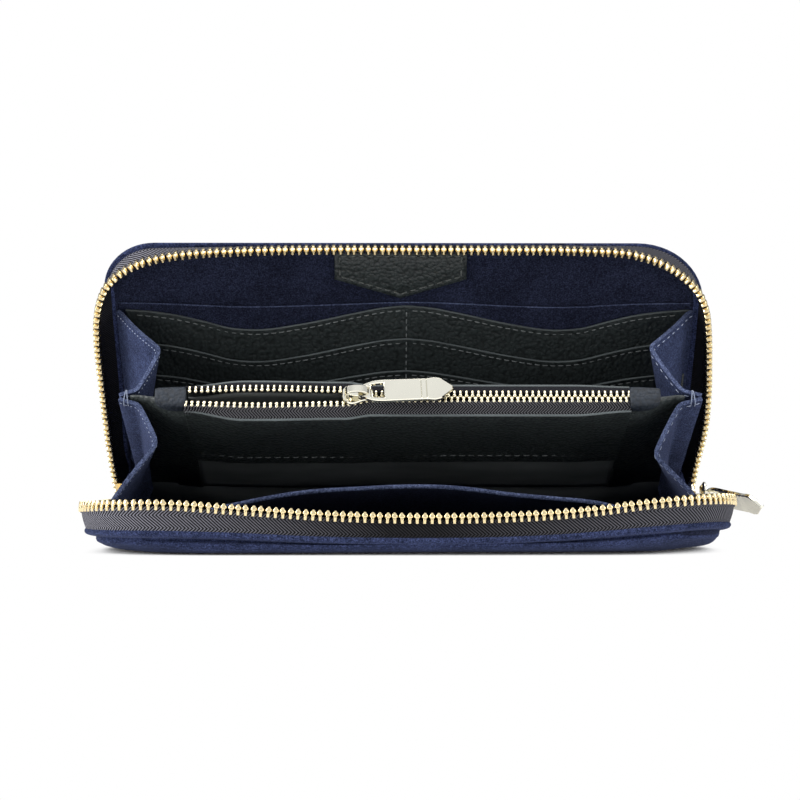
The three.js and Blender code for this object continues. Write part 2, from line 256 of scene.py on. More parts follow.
class Nodes:
    """A small helper round one node tree."""

    def __init__(self, tree):
        self.tree = tree
        tree.nodes.clear()

    def fill(self, made, inputs):
        """Links or sets a node's inputs."""
        for key, value in inputs.items():
            if isinstance(value, bpy.types.NodeSocket):
                self.tree.links.new(value, made.inputs[key])
            else:
                made.inputs[key].default_value = value
        return made

    def node(self, kind, inputs=(), **settings):
        made = self.tree.nodes.new("ShaderNode" + kind)
        for key, value in settings.items():
            setattr(made, key, value)
        return self.fill(made, dict(inputs))

    def math(self, operation, a, b=0.0):
        return self.node("Math", {0: a, 1: b}, operation=operation).outputs[0]

    def add(self, a, b):
        return self.math("ADD", a, b)

    def times(self, a, b):
        return self.math("MULTIPLY", a, b)

    def ramp(self, factor, stops):
        made = self.node("ValToRGB", {"Fac": factor})
        elements = made.color_ramp.elements
        while len(elements) < len(stops):
            elements.new(0.5)
        for element, (position, color) in zip(elements, stops):
            element.position = position
            element.color = (*color, 1)
        return made.outputs["Color"]

    def by_camera(self, others, camera):
        """One shader for camera rays, another for all other rays."""
        seen = self.node("LightPath").outputs["Is Camera Ray"]
        return self.node("MixShader", {0: seen, 1: others.outputs[0], 2: camera.outputs[0]})


class Surface(Nodes):
    """A material with one principled shader."""

    def __init__(self, name):
        self.material = bpy.data.materials.new(name)
        self.material.use_nodes = True
        super().__init__(self.material.node_tree)
        self.shader = self.node("BsdfPrincipled")
        self.out = self.node("OutputMaterial", {0: self.shader.outputs[0]})
        self.coords = self.node("TexCoord")

    def noise(self, scale, detail=2.0, rough=0.5, stretch=None):
        vector = self.coords.outputs["Object"]
        if stretch:
            vector = self.node("Mapping", {"Vector": vector, "Scale": stretch}).outputs[0]
        return self.node("TexNoise", {"Vector": vector, "Scale": scale, "Detail": detail,
                                      "Roughness": rough}).outputs["Fac"]

    def ribs(self, run, pitch):
        """Soft ribs between nought and one."""
        return self.add(self.times(self.math("SINE", self.times(run, 2 * math.pi / pitch)), 0.5), 0.5)

    def bump(self, height, distance, strength=1.0, previous=None):
        """A normal raised by a height, in millimetres."""
        inputs = {"Height": height, "Distance": distance * MM, "Strength": strength}
        if previous:
            inputs["Normal"] = previous
        return self.node("Bump", inputs).outputs[0]

    def finish(self, **values):
        self.fill(self.shader, {key.replace("_", " "): value for key, value in values.items()})
        return self.material


def shaded(color, share):
    return tuple(np.array(color) * share)


def between(dark, light, share):
    return tuple(mix(np.array(dark), np.array(light), share))


def suede(name, dark, light, sheen):
    """Napped suede: fine fibre speckle over soft patches where the nap lies another way."""
    n = Surface(name)
    nap = n.noise(2300, 1, rough=0.7)
    fibre = n.noise(900, 2, rough=0.6)
    patches = n.noise(90, 3, rough=0.6)
    speckle = n.add(n.times(nap, 0.7), n.times(fibre, 0.3))
    tone = n.add(n.times(speckle, 0.8), n.times(patches, 0.2))
    color = n.ramp(tone, [(0.38, dark), (0.51, between(dark, light, 0.38)), (0.63, light)])
    normal = n.bump(patches, 0.35, 0.3, n.bump(nap, 0.25, 0.9))
    return n.finish(Base_Color=color, Roughness=0.95, Specular_IOR_Level=0.05, Sheen_Weight=sheen,
                    Sheen_Roughness=0.45, Sheen_Tint=(0.45, 0.52, 0.85, 1), Normal=normal)


def leather(name, color, roughness):
    """Leather with rounded pebbles, a few deeper creases, gloss that varies finely and painted shade in the
    valleys between the pebbles.
    """
    n = Surface(name)
    drift = n.node("CombineXYZ", {0: n.noise(300), 1: n.noise(310), 2: n.noise(290)}).outputs[0]
    drift = n.node("VectorMath", {0: drift, "Scale": 0.0012}, operation="SCALE").outputs[0]
    source = n.node("VectorMath", {0: n.coords.outputs["Object"], 1: drift}, operation="ADD").outputs[0]
    cells = n.node("TexVoronoi", {"Vector": source, "Scale": 850, "Smoothness": 0.35,
                                  "Randomness": 0.9}, feature="SMOOTH_F1").outputs["Distance"]
    pebble = n.math("SUBTRACT", 1.0, n.math("POWER", cells, 1.5))
    fine = n.noise(2400)
    folds = n.noise(140, stretch=(1.0, 2.2, 2.2))
    normal = n.bump(n.add(pebble, n.times(fine, 0.12)), 0.30, 0.9, n.bump(folds, 0.4, 0.35))
    # painted shade: the valleys between pebbles at half the colour, the pebble tops at full
    shade = n.ramp(pebble, [(0.35, shaded(color, 0.5)), (0.85, color)])
    shine = n.add(roughness - 0.08, n.times(fine, 0.2))
    return n.finish(Base_Color=shade, Roughness=shine, Specular_IOR_Level=0.45, Normal=normal)


def smooth_leather(name, color, roughness):
    n = Surface(name)
    fine = n.noise(1600, 3, rough=0.6)
    folds = n.noise(70, stretch=(0.5, 1.6, 1.6))
    shade = n.ramp(folds, [(0.3, shaded(color, 0.75)), (0.75, shaded(color, 1.25))])
    normal = n.bump(folds, 0.6, 0.4, n.bump(fine, 0.06, 0.6))
    return n.finish(Base_Color=shade, Roughness=n.add(roughness - 0.1, n.times(fine, 0.2)),
                    Specular_IOR_Level=0.28, Normal=normal)


def herringbone(name, dark, light, pitch, band, vertex, middle_painted_shade=1.0):
    """Woven zip tape with painted shade that darkens it towards the middle of the wallet, more deeply on its
    right. UV is in millimetres:
    U along the tape and V across it; the ribs meet at V = vertex."""
    n = Surface(name)
    split = n.node("SeparateXYZ", {0: n.coords.outputs["UV"]})
    u, v = split.outputs[0], split.outputs[1]
    fold = n.math("PINGPONG", n.math("SUBTRACT", v, vertex), band)
    run = n.add(n.add(u, n.times(fold, 1.15)), n.times(n.noise(150), 0.35))
    rib = n.ribs(run, pitch)
    weft = n.ribs(n.math("SUBTRACT", fold, n.times(u, 0.35)), 0.42)
    fibre = n.noise(3000, rough=0.7)
    tone = n.add(n.times(rib, 0.7), n.times(n.add(fibre, weft), 0.15))
    color = n.ramp(tone, [(0.28, dark), (0.54, between(dark, light, 0.32)), (0.76, light)])
    # painted shade: the colour is scaled from the value given for the middle of the wallet up to full
    # towards the sides, sooner on the left than on the right
    place = n.node("SeparateXYZ", {0: n.coords.outputs["Object"]}).outputs[0]
    side = n.math("MAXIMUM", n.times(place, -1.0), n.times(place, 0.62))
    painted_shade_level = n.node("MapRange", {"Value": side, "From Min": 0.006, "From Max": 0.092,
                              "To Min": middle_painted_shade, "To Max": 1.0}).outputs[0]
    painted_shade_tint = n.node("CombineXYZ", {0: painted_shade_level, 1: painted_shade_level, 2: painted_shade_level}).outputs[0]
    color = n.node("Mix", {0: 1.0, 6: color, 7: painted_shade_tint}, data_type="RGBA", blend_type="MULTIPLY").outputs[2]
    normal = n.bump(n.add(rib, n.times(weft, 0.4)), 0.18, 0.8)
    return n.finish(Base_Color=color, Roughness=0.85, Specular_IOR_Level=0.15, Normal=normal)


def metal(name, color, roughness, wear=0.06):
    n = Surface(name)
    smudge = n.noise(70, 1, rough=0.4)
    tone = n.ramp(smudge, [(0.3, shaded(color, 0.93)), (0.7, color)])
    return n.finish(Base_Color=tone, Metallic=1.0, Roughness=n.add(roughness - wear / 2, n.times(smudge,
                                                                                                 wear)))


def thread(name, color):
    n = Surface(name)
    twist = n.noise(3500)
    shade = n.ramp(twist, [(0.3, shaded(color, 0.6)), (0.7, color)])
    return n.finish(Base_Color=shade, Roughness=0.7, Sheen_Weight=0.3, Normal=n.bump(twist, 0.05, 0.6))


def board(name, color):
    n = Surface(name)
    pulp = n.noise(700, 4)
    shade = n.ramp(pulp, [(0.3, shaded(color, 0.8)), (0.7, color)])
    return n.finish(Base_Color=shade, Roughness=0.9, Normal=n.bump(pulp, 0.1, 0.5))


SUEDE = suede("outer_suede", (0.008, 0.011, 0.027), (0.060, 0.077, 0.175), 0.12)
GUSSET = suede("gusset_suede", (0.008, 0.011, 0.026), (0.056, 0.073, 0.155), 0.12)
INSIDE = suede("inside_suede", (0.005, 0.006, 0.013), (0.027, 0.033, 0.066), 0.08)
# cut suede edges: paler raw fibre, with a painted highlight in the same lighter colour where the edges catch
# the light
RAW_EDGE_AND_HIGHLIGHT = suede("raw_suede_edge_and_highlight", (0.022, 0.029, 0.060), (0.130, 0.160, 0.280), 0.15)
PEBBLED = leather("pebbled_leather", (0.023, 0.029, 0.029), 0.42)
# painted light: the black smooth lining is lifted to a mid grey to make up for the shade deep inside the
# wallet
SMOOTH = smooth_leather("smooth_lining", (0.170, 0.182, 0.182), 0.55)
# painted light: the same black pebbled leather as the card slots, made lighter to make up for the shade on
# the divider
FACING = leather("facing_leather", (0.040, 0.048, 0.047), 0.42)
TAB = leather("tab_leather", (0.012, 0.018, 0.028), 0.60)
EDGE = smooth_leather("painted_edge", (0.085, 0.098, 0.100), 0.35)
# the outer zip tape is painted down to 0.07 of its colour in the middle of the wallet, as painted shade
TAPE = herringbone("zip_tape_weave", (0.003, 0.003, 0.004), (0.250, 0.246, 0.285), 1.05, 3.6, 1.1, 0.07)
# a darker copy of the zip tape's weave: painted shade on the tape's inner side and on the upper pocket tape
SHADED_TAPE = herringbone("shaded_tape_weave", (0.003, 0.003, 0.004), (0.022, 0.022, 0.028), 0.87, 3.6, 1.1)
INNER_TAPE = herringbone("inner_tape_weave", (0.001, 0.001, 0.002), (0.100, 0.098, 0.106), 0.9, 1.6, 0.0)
GOLD = metal("gold_teeth", (0.84, 0.68, 0.39), 0.24)
PALE_GOLD = metal("pale_gold_teeth", (0.88, 0.80, 0.58), 0.18)
CHAMPAGNE = metal("champagne_metal", (0.88, 0.84, 0.71), 0.07, 0.02)
THREAD = thread("navy_thread", (0.40, 0.46, 0.62))
DARK_THREAD = thread("black_thread", (0.165, 0.180, 0.180))
BOARD = board("board", (0.42, 0.40, 0.36))

# ---------------------------------------------------------------- plan lines

HALF_WIDTH, DEPTH, CORNER = 97.0, 92.0, 27.0


def u_line(inset, rear=0.0, side=26, corner=14, front=64, hw=HALF_WIDTH, depth=DEPTH, radius=CORNER):
    """Plan points of a cover's outline at an inset, from the left rear round the front to the right rear."""
    x, y = hw - inset, depth - inset
    r = max(radius - inset, 0.6)
    a = np.linspace(math.pi, 1.5 * math.pi, corner, endpoint=False)
    left = np.stack([np.full(side, -x), -np.linspace(rear, y - r, side, endpoint=False)], -1)
    bend_left = np.stack([-x + r + r * np.cos(a), -y + r + r * np.sin(a)], -1)
    middle = np.stack([np.linspace(-x + r, x - r, front), np.full(front, -y)], -1)
    return np.concatenate([left, bend_left, middle, (bend_left * [-1, 1])[::-1], (left * [-1, 1])[::-1]])


def outline(half, inset, **counts):
    """A cover's outline; the raised cover is a little smaller in front of the spine."""
    line = u_line(inset, **counts)
    if half == "upper":
        sharper = u_line(inset, hw=96.4, depth=90.8, radius=17.0, **counts)
        rounder = u_line(inset, hw=95.3, depth=90.8, radius=23.0, **counts)
        smaller = mix(rounder, sharper, smooth(line[:, :1], -40, 40))
        line = mix(line, smaller, smooth(-line[:, 1:], 0, 40))
    return line


def measured(line):
    """Length along a line of points, from its start."""
    steps = np.linalg.norm(np.diff(line, axis=0), axis=1)
    return np.concatenate([[0], np.cumsum(steps)])


def pick(line, length, s):
    """Points of a line, given its lengths, at distances s along it."""
    return np.stack([np.interp(s, length, values) for values in line.T], -1)


def sampled(line, count, start=0.0, end=0.0):
    """Evenly spaced points on a line, with unit tangents."""
    length = measured(line)
    s = np.linspace(start, length[-1] - end, count)
    step = 0.6
    return pick(line, length, s), unit(pick(line, length, s + step) - pick(line, length, s - step))


# ---------------------------------------------------------------- how the soft edges lie

RIM = 7.5  # top of the turned edge above the outer face
GROUND = -16.0

RIM_LIFT = [(-98, -0.3), (-73, -0.2), (-50, -0.8), (-25, -1.9), (3, -2.3), (37, -1.6), (55, -0.4),
            (69, 0.9), (83, 1.9), (98, 2.3)]
CHAIN_LIFT = [(-98, 0.5), (-85, 1.1), (-73, 1.3), (-50, -0.1), (-25, -1.8), (3, -2.6), (37, -1.8),
              (55, -0.3), (69, 1.5), (83, 2.7), (98, 3.0)]
BELLY_LIFT = [(-98, 0.6), (-85, 0.2), (-60, 0.0), (-20, 0.2), (3, 0.5), (37, 0.7), (55, 1.0), (69, 1.7),
              (83, 2.6), (98, 3.2)]


def lifted(table, x, y, half):
    """How far the lower cover's soft front edge stands off its flat shape; the upper one lies flat."""
    return curve(x, table) * smooth(-y, 40, 88) if half == "lower" else np.zeros_like(x)


def rear_share(y):
    """Falls from one to a small share where the turned edge runs down into the spine."""
    return mix(0.36, 1.0, smooth(-y, 0.5, 13))


# Inset from the outline and height above the outer face, round the section of a cover.
SECTION = [(26, 2.4), (12, 2.4), (4.6, 2.4), (3.7, 2.9), (3.45, 4.2), (3.4, 6.4), (3.1, 7.1), (2.5, 7.45),
           (1.6, 7.5), (0.8, 7.4), (0.25, 7.05), (0.0, 6.55), (0.05, 6.1), (0.4, 5.65), (1.0, 5.35),
           (1.8, 5.15), (2.7, 4.95), (3.1, 4.6), (2.8, 4.2), (2.1, 3.85), (1.5, 3.4), (1.25, 2.9),
           (1.5, 2.3), (2.1, 1.65), (3.2, 1.05), (5.0, 0.6), (8.0, 0.28), (12.0, 0.12), (18, 0.04),
           (26, 0.0)]
CORNER_SECTION = SECTION[:15] + [(1.9, 5.1), (3.1, 4.95), (3.9, 4.65), (4.0, 4.35), (3.9, 4.05),
    (4.2, 3.6), (5.0, 3.05), (6.3, 2.45), (7.9, 1.9), (9.8, 1.25), (12.2, 0.7), (15, 0.3), (19, 0.06),
    (22, 0.02), (26, 0)]
UPPER_SECTION = SECTION[:8] + [(1.6, 7.55), (0.7, 7.55), (0.2, 7.4), (0.0, 7.1), (0.1, 6.7), (0.45, 6.1),
    (0.95, 5.5), (1.55, 5.05), (2.2, 4.75), (2.6, 4.5), (2.7, 4.25), (2.5, 3.9), (2.35, 3.4), (2.5, 2.9),
    (2.9, 2.3), (3.5, 1.6), (4.5, 1.0), (6.0, 0.6), (8.5, 0.3)] + SECTION[-3:]


def cover_points(half):
    """Rows of points round a cover's outline, one for each point of its section."""
    rows = []
    ahead_section = UPPER_SECTION if half == "upper" else SECTION
    for (inset, height), (inset_front, height_front), (inset_corner, height_corner) in zip(
            SECTION, ahead_section, CORNER_SECTION):
        line = outline(half, inset)
        ahead = smooth(-line[:, 1], 3, 30)
        corner = smooth(np.abs(line[:, 0]), 56, 90) * smooth(-line[:, 1], 45, 80) * (half == "lower")
        line = mix(line, outline(half, inset_front), ahead[:, None])
        line = mix(line, outline(half, inset_corner), corner[:, None])
        height = mix(mix(height, height_front, ahead), height_corner, corner)
        x, y = line[:, 0], line[:, 1]
        low = lifted(BELLY_LIFT, x, y, half) * max(0.0, 1 - inset / 24) ** 1.3
        high = lifted(RIM_LIFT, x, y, half)
        share = smooth(height, 2.4, 5.0) if inset < 3.3 else smooth(height, 3.0, 6.0)
        rows.append(xyz(x, y, GROUND + height * rear_share(y) + mix(low, high, share)))
    return np.array(rows)


def cover(half, body):
    """One padded cover with its turned edge, closed below its lining."""
    rows = cover_points(half)
    shape = Gather()
    shape.grid(rows)
    index = np.arange(rows[..., 0].size).reshape(rows.shape[:2])
    shape.faces += [index[0].tolist(), index[-1][::-1].tolist(),
                    [*index[:, 0].tolist(), *index[::-1, -1].tolist()]]
    attach(shape.build(f"{half}_suede_cover", half, [SUEDE]), body, "navy_suede", f"{half}_cover")


BODIES = {"lower": "base", "upper": "upper_cover"}
for half, body in BODIES.items():
    cover(half, body)

# ---------------------------------------------------------------- spine


# Angles in the spine: 0 points straight down from the hinge, 90 straight back.
HALF_TURN = (180 - math.degrees(OPEN)) / 2
SPINE_REACH = 6.8  # from the middle of a wrap to each of the two points given to bend()
WRAP_RADIUS = 16


def spine(name, section, material, slot_node):
    """A wrap round the hinge axis in two parts that meet at the divider, from a section (x, radius)."""
    parts = (("lower", 0, "base", "divider", [slot_node]),
             ("upper", HALF_TURN, "divider", "upper_cover", []))
    for word, turn, a, b, nodes in parts:
        turns = np.radians(np.linspace(turn, turn + HALF_TURN, 22))
        x, radius = np.array(section).T
        rings = np.array([xyz(x, radius * np.sin(t), -radius * np.cos(t)) for t in turns])
        obj = loft(f"{name}_{word}", None, rings + HINGE, [material])
        centre = math.radians(turn + HALF_TURN / 2)
        along = SPINE_REACH * np.array([0, math.cos(centre), math.sin(centre)])
        middle = HINGE + WRAP_RADIUS * np.array([0, math.sin(centre), -math.cos(centre)])
        bend(obj, a, b, middle - along, middle + along, "navy_suede", *nodes)


share = float(rear_share(np.array(0.0)))
profile = [(HALF_WIDTH - d, WRAP_RADIUS - h * share) for d, h in SECTION]
spine("spine_wrap", profile + [(-x, radius) for x, radius in reversed(profile)], SUEDE, "spine_cover")
spine("spine_lining", [(-93.4, 14.9), (93.4, 14.9), (93.7, 14.5), (93.4, 13.6), (92, 13.3), (-92, 13.3),
                       (-93.4, 13.6), (-93.7, 14.5)], INSIDE, "spine_lining")

# ---------------------------------------------------------------- boards and linings

for half, body in BODIES.items():
    edge = u_line(0, rear=4, side=10, corner=12, front=12, hw=87.0, depth=80.0, radius=34.0)
    ring = np.array([np.c_[edge, np.full(len(edge), z)] for z in (-13.2, -12.2)])
    attach(loft(f"{half}_stiffener", half, ring, [BOARD]), body, "stiffener", f"{half}_board")

    tray = Gather()
    rows = []
    for inset, height in ((3.36, 7.15), (3.5, 6.0), (3.9, 5.35), (4.8, 5.0), (7, 4.85), (14, 4.8),
                          (26, 4.8), (45, 4.8)):
        line = outline(half, inset, rear=1.0)
        x, y = line[:, 0], line[:, 1]
        h = (height - 2.2) * rear_share(y) + 2.2
        wave = 0.15 * np.sin(x / 17.0 + 0.6) * np.sin(y / 21.0) * smooth(inset, 5, 20)
        h = h + wave + lifted(RIM_LIFT, x, y, half) * float(smooth(height, 5.0, 7.0))
        rows.append(xyz(x, y, GROUND + h))
    rows = np.array(rows)
    tray.grid(rows, rows[..., :2])
    tray.faces += [np.arange(rows.shape[1] * 7, rows.shape[1] * 8).tolist()]  # the middle
    obj = tray.build(f"{half}_suede_lining", half, [INSIDE])
    thicken(obj, 0.7)
    attach(obj, body, "navy_suede", f"{half}_lining")

# ---------------------------------------------------------------- card slots, slip pockets, patch

LAYER = -10.4  # underside of the first sheet in the cover frame
STEP = 1.1  # from one sheet to the next
SEAM_INSET = 1.5  # from a free edge to its stitches
WAVE = [(0, 0), (8, 0.10), (16, 0.30), (34, 0.78), (48, 1.0), (57, 0.92), (65, 0.66), (74, 0.40),
        (82, 0.26), (90, 0.18)]


def sheet_edge(x, edge, dip):
    """Distance from the hinge axis to a pocket sheet's free edge: it dips once in each column."""
    return edge - dip * curve(np.abs(x), WAVE)


def stitch_run(shape, points, normals, pitch=2.5, length=1.75, radius=0.18, lift=0.1):
    """A running stitch of short plump threads along a line of points, lying on a surface."""
    total = measured(points)[-1]
    count = max(2, int(total / pitch))
    at, along = sampled(points, count, pitch / 2, pitch / 2)
    turns = measured(normals)
    out = pick(normals, turns, np.linspace(0, turns[-1], count))
    out = unit(out - along * np.sum(out * along, 1)[:, None])
    side = np.cross(out, along)
    ring = np.linspace(0, 2 * math.pi, 7)[:-1]
    stations = [(-0.5, 0.25, -0.9), (-0.42, 0.8, -0.2), (-0.2, 1.0, 0.25), (0.2, 1.0, 0.25),
                (0.42, 0.8, -0.2), (0.5, 0.25, -0.9)]
    verts = np.array([(s * length, k * radius * math.cos(t),
                       k * radius * math.sin(t) * 0.8 + up * radius + lift)
                      for s, k, up in stations for t in ring])
    shape.repeat((verts, grid_faces(6, 6, True, True)), at, np.stack([along, side, out], 1))


def straight(shape, line, up, **dashes):
    """A running stitch on a flat surface that faces along Z, up or down."""
    stitch_run(shape, line, np.tile([0.0, 0.0, up], (len(line), 1)), **dashes)


UP = to_row([0, 0, 1], "upper") - to_row([0, 0, 0], "upper")
THICKNESS = 0.85


def pocket_sheet(name, node, layer, edge, dip, materials, slot, ends, groove_depth):
    """A flat pocket sheet in the upper cover with a waved free edge; returns the height of its face."""
    face = LAYER + layer * STEP + THICKNESS
    xs = np.linspace(*ends, 127)
    front = sheet_edge(xs, edge, dip)
    rows = []
    for v in np.concatenate([np.linspace(0, 0.16, 9), np.linspace(0.2, 1, 18)]):
        r = mix(front, 6.0, v)
        lip = 0.18 * smooth(v, 0.05, 0.0)
        ripple = 0.16 * np.sin(xs / 9.0 + layer) * np.sin(r / 8.0 + 0.7 * layer)
        groove = groove_depth * np.exp(-((front - r - SEAM_INSET) / 0.45) ** 2)
        rows.append(xyz(xs, -r, face + ripple + lip - groove))
    obj = sheet(name, "upper", rows, materials)
    thicken(obj, THICKNESS, UP, 1, 0.22)
    attach(obj, "upper_cover", slot, node)
    return face


pocket_sheet("upper_slip_sheet", "upper_slip_pocket", 0, 69.0, 1.8, [INSIDE, RAW_EDGE_AND_HIGHLIGHT], "navy_suede",
             (-92.6, 92.6), 0.0)
stitches = Gather()
tops = []
for number, (edge, dip) in enumerate(((68.3, 9.0), (56.8, 8.8), (45.2, 7.2)), 1):
    top = pocket_sheet(f"card_slot_sheet_{number}", f"card_slot_{number}", number, edge, dip,
                       [PEBBLED, EDGE],
                       "black_leather", (-91.2, 90.2), 0.22)
    tops.append(top)
    for side in (-1, 1):
        xs = side * np.linspace(1.5, 87, 90)
        straight(stitches, xyz(xs, SEAM_INSET - sheet_edge(xs, edge, dip), top - 0.05), 1)
seam_r = np.linspace(8, 66.5, 80)
seam_top = np.where(seam_r < 44, tops[2], np.where(seam_r < 55.5, tops[1], tops[0]))
straight(stitches, xyz(0, -seam_r, seam_top), 1)
attach(stitches.build("card_slot_stitching", "upper", [DARK_THREAD]), "upper_cover", "black_leather")

# Blank pentagonal patch behind the zip.
PATCH = np.array([(23, -77.3), (2, -70.4), (-19, -77.3), (-19, -87.5), (23, -87.5)])


def inset_polygon(points, amount):
    """The corners of a polygon moved inwards, square to its sides."""
    out = []
    for a, b, c in zip(np.roll(points, 1, 0), points, np.roll(points, -1, 0)):
        d1, d2 = unit(b - a), unit(c - b)
        n1, n2 = np.array([-d1[1], d1[0]]), np.array([-d2[1], d2[0]])
        out.append(b + (n1 + n2) / (1 + n1 @ n2) * amount)
    return np.array(out)


levels = [(0.0, 0.0), (0.0, 0.55), (0.25, 0.85), (1.2, 0.92), (1.7, 0.78), (2.2, 0.95), (5.5, 0.98)]
rings = [np.c_[inset_polygon(PATCH, inset), np.full(5, LAYER + height)] for inset, height in levels]
obj = loft("blank_label_patch", "upper", np.array(rings), [PEBBLED])
sharp(obj, 50)
attach(obj, "upper_cover", "black_leather", "label_patch")
patch_thread = Gather()
corners = inset_polygon(PATCH, 1.7)
for a, b in zip(corners, np.roll(corners, -1, 0)):
    x, y = mix(a, b, np.linspace(0, 1, 12)[:, None]).T
    straight(patch_thread, xyz(x, y, LAYER + 0.78), 1, pitch=2.6, length=1.9, radius=0.2)
obj = patch_thread.build("patch_stitching", "upper", [thread("patch_thread", (0.10, 0.11, 0.10))])
attach(obj, "upper_cover", "black_leather")

# The lower slip pocket stands open in a wide arch.
ARCH = [(-93, 0), (-80, 1.2), (-70, 3.6), (-58, 6.6), (-47, 8.8), (-30, 11.5), (-15, 12.7), (0, 13.2),
        (15, 12.6), (30, 11.0), (45, 9.6), (58, 8.0), (70, 4.8), (80, 1.6), (93, 0)]
xs = np.linspace(-92.6, 92.6, 115)
rows = []
for v in np.linspace(0, 1, 26):
    r = mix(60.5, 6.0, v)
    rise = curve(xs, ARCH) * smooth(1 - v, 0.15, 1.0)
    ripple = 0.15 * np.sin(xs / 8.0) * (1 - v)
    rows.append(xyz(xs, 0.8 * smooth(np.abs(xs), 60, 88) - r, LAYER + 0.5 + rise + ripple))
obj = sheet("lower_slip_sheet", "lower", rows, [INSIDE, RAW_EDGE_AND_HIGHLIGHT])
thicken(obj, 1.25, rim=1)
attach(obj, "base", "navy_suede", "lower_slip_pocket")
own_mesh(obj)

# ---------------------------------------------------------------- outer zip

ROW = dict(hw=97.2, depth=91.6, radius=24.0)
TOOTH_BASE = -4.1


def section_template(sections, corner=0.3):
    """A small closed shape lofted from rounded rectangles (height, half width, half thickness)."""
    verts, ring = [], []
    for h, w, t in sections:
        c = corner * min(w, t) * 2
        for sx, sy, first in ((1, -1, 0), (1, 1, 1), (-1, 1, 0), (-1, -1, 1)):
            pair = [(sx * w, sy * (t - c), h), (sx * (w - c), sy * t, h)]
            verts += pair if first else pair[::-1]
    return np.array(verts, float), grid_faces(len(sections), 8, True, True)


OUTER_TOOTH = section_template([(-0.4, 0.36, 1.0), (-0.25, 0.43, 1.15), (1.0, 0.43, 1.15),
    (1.2, 0.44, 1.1), (1.38, 0.80, 1.05), (1.55, 0.92, 1.05), (1.95, 0.80, 1.0), (2.4, 0.50, 0.95),
    (2.75, 0.26, 0.8)], 0.12)
INNER_TOOTH = section_template([(-0.2, 0.28, 0.6), (-0.05, 0.36, 0.75), (0.8, 0.36, 0.75),
    (1.1, 0.36, 0.7), (1.25, 0.50, 0.7), (1.5, 0.52, 0.7), (1.8, 0.40, 0.6), (2.0, 0.22, 0.4)], 0.15)

# The raised half of the zip bows outwards along its sides: (x in the row frame, distance from the hinge).
UPPER_ROW = [(-97.0, -4), (-97.5, 0), (-98.7, 16.7), (-99.1, 30.6), (-99.3, 43.8), (-99.4, 56.1),
             (-98.8, 65.5), (-97.4, 72), (-95.0, 77.6), (-90.5, 82.6), (-84, 86.4), (-76, 88.7),
             (-68.8, 89.8), (-52, 90.9), (-36, 91.4), (0, 91.5), (29, 91.4), (55, 91.1), (70.9, 89.8),
             (78.9, 87.2), (87.0, 82.0), (92.2, 76.4), (95.2, 70), (96.8, 62), (98, 51.2), (99.2, 36.3),
             (99.3, 24), (98.2, 14), (97.4, 6), (97.0, -4)]


def through(points, count):
    """A smooth line through a few points."""
    points = np.array(points, float)
    length = measured(points)
    s = np.linspace(0, length[-1], count)
    return np.stack([curve(s, np.c_[length, values]) for values in points.T], -1)


def chain_line(half):
    """The line on which the teeth stand, in the cover's own frame."""
    if half == "upper":
        line = through(UPPER_ROW, 300)[::-1] * -1.0
        return np.c_[line, np.full(300, TOOTH_BASE)]
    line = u_line(0.0, side=40, corner=40, front=80, **ROW)
    return np.c_[line, TOOTH_BASE + lifted(CHAIN_LIFT, line[:, 0], line[:, 1], half)]


TOOTH_PITCH = 2.13
EDGE_COUNT = 1600  # points on a cover's edge, to find the nearest to each part of the tape


